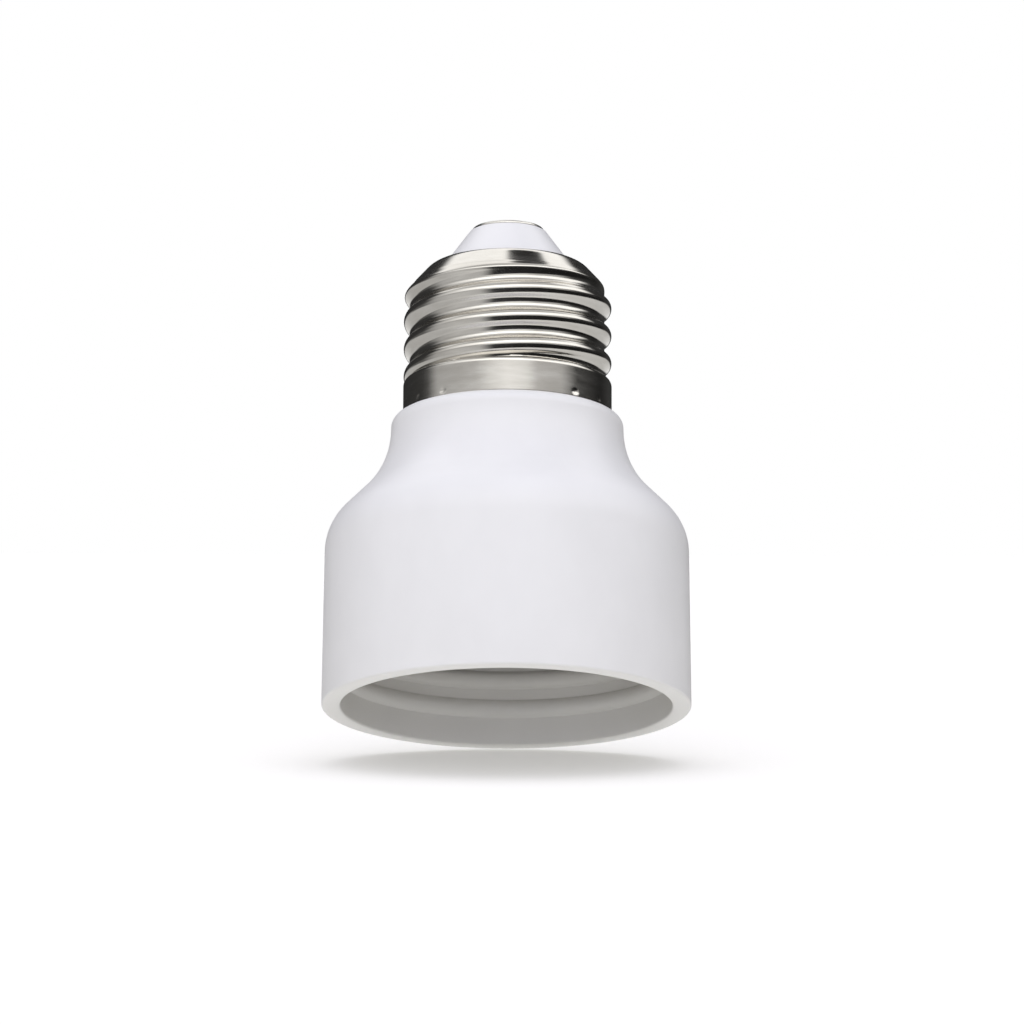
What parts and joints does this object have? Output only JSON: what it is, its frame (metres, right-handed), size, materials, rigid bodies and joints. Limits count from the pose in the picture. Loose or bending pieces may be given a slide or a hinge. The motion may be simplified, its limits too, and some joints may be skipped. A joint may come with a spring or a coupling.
{
  "type": "lamp socket adapter",
  "caption": "Lamp socket adapter: a bell-shaped white housing with a medium screw cap on top and a mogul screw socket with a sprung contact inside its mouth.",
  "frame": {"origin": "centre of the mouth's rim plane, on which the adapter stands", "axes": "+Z along the axis, from the mouth up through the screw cap's tip contact; +X to the right and -Y towards the viewer in the picture"},
  "size_m": [0.0464, 0.0464, 0.0625],
  "materials": {
    "white_plastic": "moulded thermoplastic with a satin surface",
    "nickel": "bright nickel plate on brass sheet",
    "ceramic": "unglazed steatite",
    "brass": "plain drawn and turned brass",
    "steel": "zinc-plated or stainless steel",
    "lead_sleeve": "matt silicone sleeve"
  },
  "bodies": {
    "adapter": {"housing": "white_plastic", "e27_screw_shell": "nickel", "tip_contact": "nickel", "e40_screw_shell": "nickel", "contact_carrier": "ceramic", "carrier_screws": "steel", "contact_guide": "brass", "contact_spring": "steel", "live_terminal": "brass", "live_lead": "lead_sleeve", "neutral_strap": "brass"},
    "button": {"contact_button": "brass"}
  },
  "joints": [
    {"name": "contact_press", "type": "slide", "parent": "adapter", "child": "button", "axis": [0, 0, 1], "range_m": [0, 0.0016], "stiffness_N_per_m": 800, "springref_m": -0.002, "deforming": ["contact_spring"]}
  ]
}
